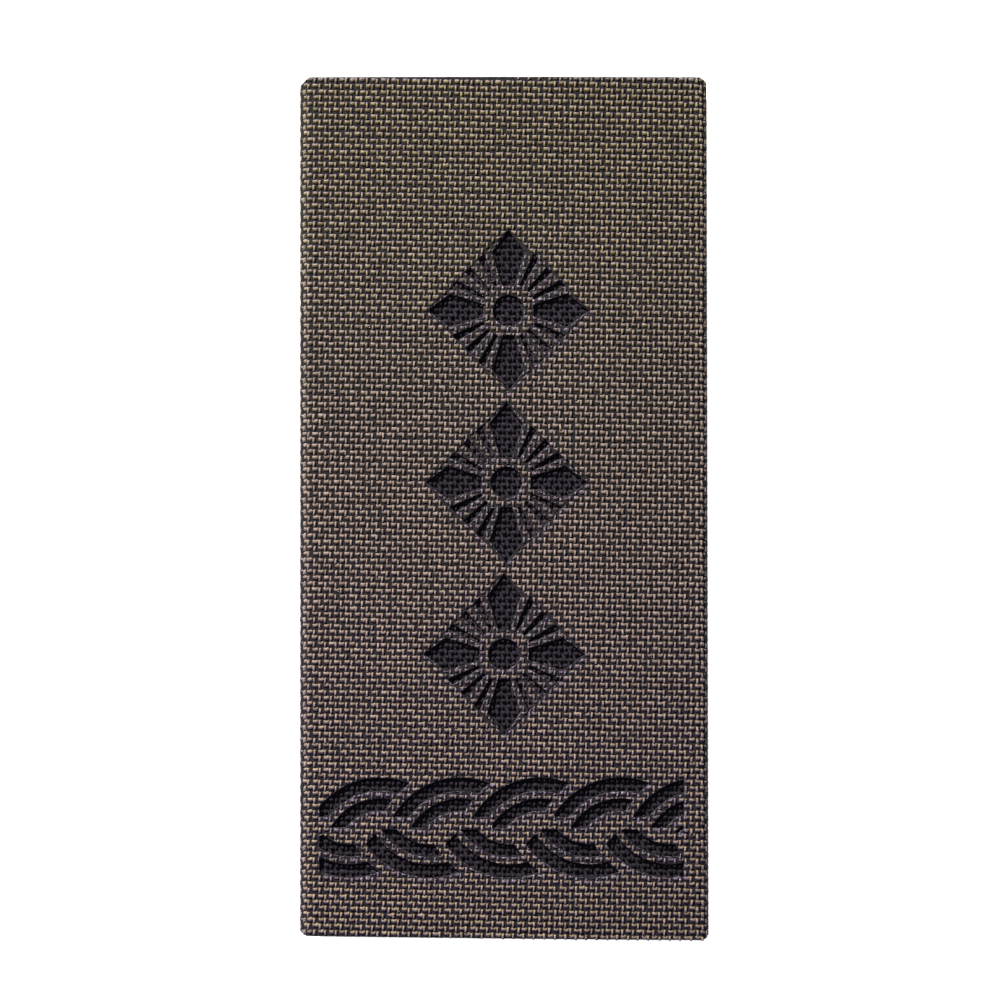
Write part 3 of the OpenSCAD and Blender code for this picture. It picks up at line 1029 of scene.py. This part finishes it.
def thread_finish(name, colour):
    finish, wire, shader = new_finish(name, sheen=0.2)
    sockets = {"Vector": place_on_board(wire), "Scale": 900.0, "Distortion": 2.0}
    twist = wire.node("ShaderNodeTexWave", {"bands_direction": "DIAGONAL"}, sockets)
    painted = twist.blend(rgba(*[c * 0.6 for c in colour]), rgba(*colour))
    bump = bumps(wire, 0.7, 0.00006, twist)
    feed(shader, wire.tree, Base_Color=painted, Roughness=0.45 + twist * 0.15, Normal=bump)
    return finish


seam = bmesh.new()
dice = np.random.RandomState(31)
for x in (-SEAM_X, SEAM_X):
    for y in np.arange(-SEAM_END, SEAM_END + 0.1, STITCH_STEP):
        made = bmesh.ops.create_icosphere(seam, subdivisions=1, radius=1.0)["verts"]
        bmesh.ops.scale(seam, verts=made, vec=STITCH_HALF)
        spot = ((x + dice.normal(0, 0.03)) * MM, (y + dice.normal(0, 0.05)) * MM, STITCH_Z * MM)
        bmesh.ops.translate(seam, verts=made, vec=spot)
thread = thread_finish("taupe_thread", (112, 98, 86))
back_seam = keep_mesh(mesh_from(seam, "back_seam"), "back_seam", [thread])

# %% [markdown]
# ## What the cloth is
#
# The sleeve was a flat piece of cloth as wide as the way round the sleeve with its lap. The panels of
# floats, the rims and the stitches are on it.

# %% The two sheets
print("the two sheets of cloth: the folded sleeve and the underlay laid in it")

# %% [markdown]
# ## Floor, light and camera
#
# The photograph looks straight down onto the board, on white. The floor is a sheet of paper that
# glows by itself, so that it stays white whatever the light does. A small lamp beyond the plain end,
# to the left, rakes across the cloth: it lights the near side of every float and leaves the other in
# shade, and it puts a dark line under the upper left edges of the windows. A dim violet sky fills the
# shadows.

# %% Floor
FLOOR_HALF, FLOOR_DROP, FLOOR_GLOW = 1.5, 0.08, 0.92
floor_mesh = bmesh.new()
bmesh.ops.create_grid(floor_mesh, x_segments=2, y_segments=2, size=FLOOR_HALF)
bmesh.ops.translate(floor_mesh, verts=floor_mesh.verts, vec=(0, 0, -FLOOR_DROP * MM))
floor_data = mesh_from(floor_mesh, "floor")
floor = bpy.data.objects.new("floor", floor_data)
bpy.context.scene.collection.objects.link(floor)
floor_finish, floor_wire, floor_shader = new_finish("floor_paper", specular=0.1)
grain = noise(floor_wire, place_on_board(floor_wire), 300.0, 2.0)
paper = grain.blend((0.88, 0.88, 0.88, 1), (0.92, 0.92, 0.92, 1))
feed(floor_shader, floor_wire.tree, Base_Color=paper)
floor_shader.inputs["Emission Color"].default_value = (1, 1, 1, 1)
floor_shader.inputs["Emission Strength"].default_value = FLOOR_GLOW
floor_data.materials.append(floor_finish)
print("floor:", 2 * FLOOR_HALF, "m wide,", FLOOR_DROP, "mm under the board")

# %% Light
SKY_COLOUR, SKY_STRENGTH = (0.82, 0.78, 1.0, 1), 0.24
KEY_PLACE, KEY_SIZE, KEY_POWER, KEY_COLOUR = (-0.34, 0.50, 0.50), 0.11, 13.3, (1.0, 0.95, 0.86)
sky = bpy.data.worlds.new("sky")
bpy.context.scene.world = sky
sky.use_nodes = True
sky.node_tree.nodes["Background"].inputs[0].default_value = SKY_COLOUR
sky.node_tree.nodes["Background"].inputs[1].default_value = SKY_STRENGTH
lamp = bpy.data.lights.new("key", "AREA")
lamp.shape, lamp.size, lamp.energy, lamp.color = "DISK", KEY_SIZE, KEY_POWER, KEY_COLOUR
key = bpy.data.objects.new("key", lamp)
bpy.context.scene.collection.objects.link(key)
key.location = KEY_PLACE
key.rotation_euler = (-Vector(KEY_PLACE)).to_track_quat("-Z", "Y").to_euler()
print("the lamp is", round(Vector(KEY_PLACE).length, 2), "m from the board's middle")

# %% [markdown]
# The camera hangs 0.42 m above the face. Its lens is as long as it takes for the picture to be
# 123 mm wide at that distance, as the photograph is.

# %% Camera
WIDE, MIDDLE = 0.123, (-0.455 * MM, 1.07 * MM)
EYE_HEIGHT, FACE_Z, SENSOR = 0.42, 8.6 * MM, 36.0
eye = bpy.data.cameras.new("eye")
eye.sensor_width, eye.lens = SENSOR, SENSOR * EYE_HEIGHT / WIDE
camera = bpy.data.objects.new("eye", eye)
bpy.context.scene.collection.objects.link(camera)
camera.location = (MIDDLE[0], MIDDLE[1], EYE_HEIGHT + FACE_Z)
bpy.context.scene.camera = camera
bpy.context.scene.view_settings.view_transform = "Standard"
print("the camera sees", WIDE / MM, "mm across")
